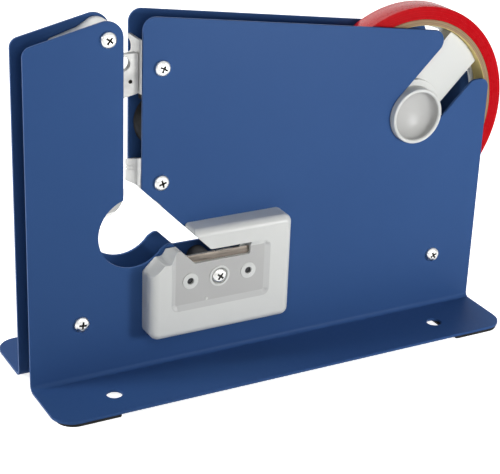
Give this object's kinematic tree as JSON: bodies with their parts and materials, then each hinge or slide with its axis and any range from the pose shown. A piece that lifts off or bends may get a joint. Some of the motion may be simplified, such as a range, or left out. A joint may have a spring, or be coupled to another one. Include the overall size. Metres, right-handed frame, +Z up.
{
  "type": "bag neck sealer",
  "caption": "Bench bag neck sealer: two bent blue side plates hold a tape roll, a neck slot with a sprung presser lever and a white trimming cutter.",
  "frame": {"origin": "middle of the base, on the surface that the sealer stands on", "axes": "+X along the plates from the neck slot towards the tape roll, +Y from the cutter's side to the rear, +Z up"},
  "size_m": [0.2206, 0.0752, 0.15],
  "materials": {
    "blue_paint": "satin powder coat",
    "zinc_screws": "zinc plated",
    "bright_steel": "turned and drawn steel",
    "blade_steel": "hardened and ground",
    "cast_grey": "matt casting",
    "white_plastic": "moulded, soft gloss",
    "black_rubber": "matt",
    "black_plastic": "matt",
    "tan_card": "card, matt",
    "red_tape": "glossy film"
  },
  "bodies": {
    "frame": {"front_side_plate": "blue_paint", "rear_side_plate": "blue_paint", "foot_pads": "black_rubber", "plate_spacers": "bright_steel", "lever_pivot_spacer": "bright_steel", "front_screws": "zinc_screws", "rear_screws": "zinc_screws", "upper_tape_guide": "cast_grey", "tape_knife": "blade_steel", "knife_screw": "zinc_screws", "lower_tape_guide": "cast_grey", "roller_pin": "bright_steel", "roller_washers": "bright_steel", "lever_spring": "bright_steel", "lever_stop_pin": "bright_steel", "cutter_housing": "white_plastic", "trim_blade": "blade_steel", "blade_backing_plate": "bright_steel", "blade_pins": "bright_steel", "housing_screw": "zinc_screws"},
    "presser_lever": {"presser_lever": "cast_grey"},
    "guide_roller": {"roller_core": "black_plastic", "roller_tyre": "black_rubber"},
    "tape_spindle": {"tape_spindle": "white_plastic"},
    "tape_roll": {"core_hub": "white_plastic", "tape_core": "tan_card", "tape_winding": "red_tape"}
  },
  "joints": [
    {"name": "lever_swing", "type": "hinge", "parent": "frame", "child": "presser_lever", "pos_m": [-0.0768, 0, 0.143], "axis": [0, 1, 0], "range_deg": [0, 25], "deforming": ["lever_spring"]},
    {"name": "roller_spin", "type": "hinge", "parent": "frame", "child": "guide_roller", "pos_m": [-0.0491, 0, 0.1049], "axis": [0, 1, 0], "continuous": true},
    {"name": "spindle_lift", "type": "slide", "parent": "frame", "child": "tape_spindle", "axis": [0.7071, 0, 0.7071], "range_m": [0, 0.042]},
    {"name": "roll_spin", "type": "hinge", "parent": "tape_spindle", "child": "tape_roll", "pos_m": [0.0639, 0, 0.0953], "axis": [0, 1, 0], "continuous": true}
  ]
}
